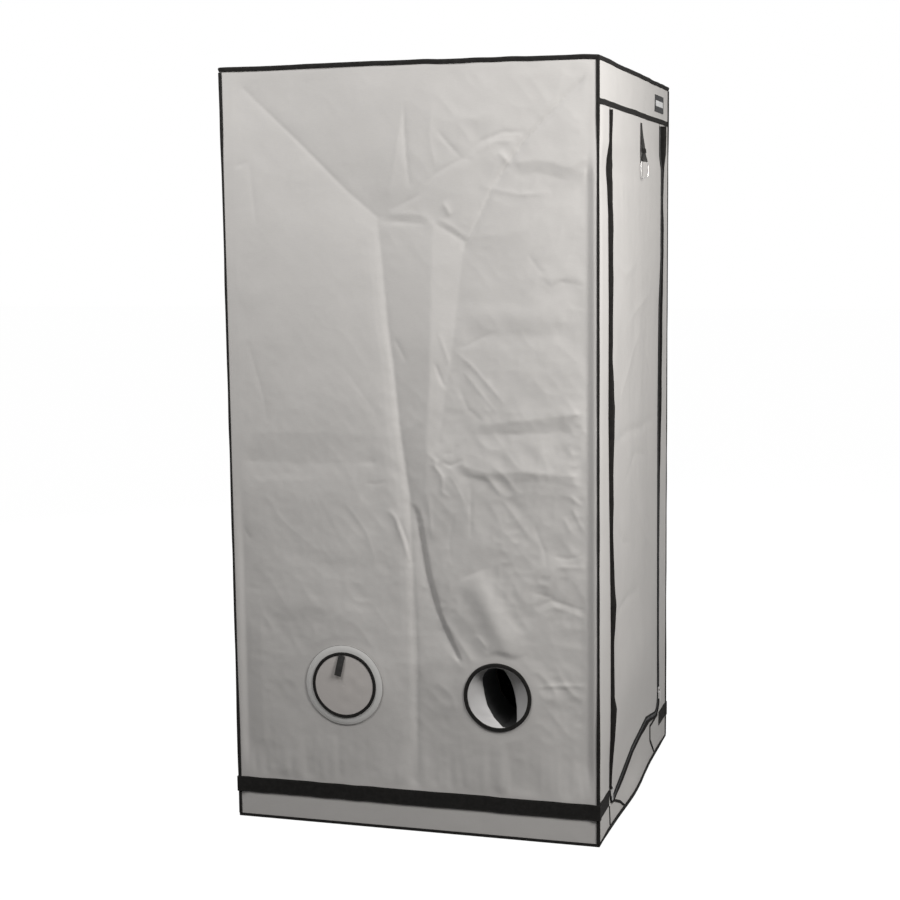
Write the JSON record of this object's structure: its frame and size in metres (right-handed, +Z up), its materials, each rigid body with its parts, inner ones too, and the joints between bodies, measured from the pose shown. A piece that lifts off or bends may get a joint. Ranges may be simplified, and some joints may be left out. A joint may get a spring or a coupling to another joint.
{
  "type": "indoor grow tent",
  "caption": "Square grow tent: a steel pole frame in a grey cloth skin with a zipped lift-up door, low air ports, an exhaust port, hanging bars and a spill tray.",
  "frame": {"origin": "middle of the base, on the floor", "axes": "+Z up, the door faces -Y, and the wall with the two low ports faces -X"},
  "size_m": [1.0078, 1.0132, 2.0015],
  "materials": {
    "tent_cloth": "fine coated weave, pale warm grey, matt",
    "tray_cloth": "coated waterproof sheet, light grey, satin",
    "sleeve_cloth": "coated cloth with a pale lining, satin",
    "black_webbing": "ribbed black tape and webbing, matt",
    "patch_cloth": "smooth pale grey patch, matt",
    "cover_cloth": "grey cloth with a black bound edge, matt",
    "connector_plastic": "moulded black plastic",
    "pole_steel": "white powder coat",
    "zip_metal": "plated zip metal",
    "ring_metal": "plated wire"
  },
  "bodies": {
    "root": {"floor_sheet": "tray_cloth", "roof_panel": "tent_cloth", "left_wall": "tent_cloth", "right_wall": "tent_cloth", "back_wall": "tent_cloth", "front_header": "tent_cloth", "front_jamb_left": "tent_cloth", "front_jamb_right": "tent_cloth", "front_sill": "tent_cloth", "roof_binding": "black_webbing", "base_binding": "black_webbing", "header_binding": "black_webbing", "base_belt": "black_webbing", "zip_frame_half": "black_webbing", "intake_ring": "black_webbing", "intake_sleeve": "sleeve_cloth", "exhaust_ring": "black_webbing", "exhaust_sleeve": "sleeve_cloth", "vent_patch": "patch_cloth", "spill_tray": "tray_cloth", "corner_binding_front_left": "black_webbing", "corner_binding_front_right": "black_webbing", "corner_binding_back_left": "black_webbing", "corner_binding_back_right": "black_webbing", "base_corner_front_left": "connector_plastic", "base_corner_front_right": "connector_plastic", "base_corner_back_left": "connector_plastic", "base_corner_back_right": "connector_plastic", "top_corner_front_left": "connector_plastic", "top_corner_front_right": "connector_plastic", "top_corner_back_left": "connector_plastic", "top_corner_back_right": "connector_plastic", "lower_post_front_left": "pole_steel", "lower_post_front_right": "pole_steel", "lower_post_back_left": "pole_steel", "lower_post_back_right": "pole_steel", "upper_post_front_left": "pole_steel", "upper_post_front_right": "pole_steel", "upper_post_back_left": "pole_steel", "upper_post_back_right": "pole_steel", "base_rail_front": "pole_steel", "base_rail_back": "pole_steel", "base_rail_left": "pole_steel", "base_rail_right": "pole_steel", "top_rail_front": "pole_steel", "top_rail_back": "pole_steel", "top_rail_left": "pole_steel", "top_rail_right": "pole_steel"},
    "door": {"door_panel": "tent_cloth", "zip_door_half": "black_webbing"},
    "zip_slider_left": {"zip_slider_left": "zip_metal"},
    "zip_slider_right": {"zip_slider_right": "zip_metal"},
    "zip_pull_left": {"zip_pull_left": "zip_metal"},
    "zip_pull_right": {"zip_pull_right": "zip_metal"},
    "tie_strap": {"tie_strap": "black_webbing"},
    "tie_ring": {"tie_ring": "ring_metal"},
    "vent_cover": {"vent_cover": "cover_cloth"},
    "vent_tab": {"vent_tab": "black_webbing"},
    "hanging_bar_front": {"hanging_bar_front": "pole_steel"},
    "hanging_bar_back": {"hanging_bar_back": "pole_steel"}
  },
  "joints": [
    {"name": "door_lift", "type": "hinge", "parent": "root", "child": "door", "pos_m": [0, -0.5, 1.8857], "axis": [-1, 0, 0], "range_deg": [0, 100]},
    {"name": "zip_run_left", "type": "slide", "parent": "door", "child": "zip_slider_left", "axis": [0, 0, 1], "range_m": [0, 1.7]},
    {"name": "zip_run_right", "type": "slide", "parent": "door", "child": "zip_slider_right", "axis": [0, 0, 1], "range_m": [0, 1.63]},
    {"name": "pull_swing_left", "type": "hinge", "parent": "zip_slider_left", "child": "zip_pull_left", "pos_m": [-0.36, -0.5075, 0.1145], "axis": [-1, 0, 0], "range_deg": [0, 140]},
    {"name": "pull_swing_right", "type": "hinge", "parent": "zip_slider_right", "child": "zip_pull_right", "pos_m": [0.36, -0.5075, 0.1875], "axis": [-1, 0, 0], "range_deg": [0, 140]},
    {"name": "strap_swing", "type": "hinge", "parent": "door", "child": "tie_strap", "pos_m": [0.062, -0.5003, 1.8717], "axis": [-1, 0, 0], "range_deg": [0, 60]},
    {"name": "ring_swing", "type": "hinge", "parent": "tie_strap", "child": "tie_ring", "pos_m": [0.062, -0.5037, 1.7685], "axis": [-1, 0, 0], "range_deg": [0, 70]},
    {"name": "vent_cover_open", "type": "hinge", "parent": "root", "child": "vent_cover", "pos_m": [-0.5044, 0.19, 0.297], "axis": [0, -1, 0], "range_deg": [0, 110]},
    {"name": "vent_tab_lift", "type": "hinge", "parent": "vent_cover", "child": "vent_tab", "pos_m": [-0.5033, 0.196, 0.4625], "axis": [0, 0.9781, 0.2079], "range_deg": [0, 60]},
    {"name": "bar_slide_front", "type": "slide", "parent": "root", "child": "hanging_bar_front", "axis": [0, 1, 0], "range_m": [-0.25, 0.09]},
    {"name": "bar_slide_back", "type": "slide", "parent": "root", "child": "hanging_bar_back", "axis": [0, 1, 0], "range_m": [-0.09, 0.25]}
  ]
}
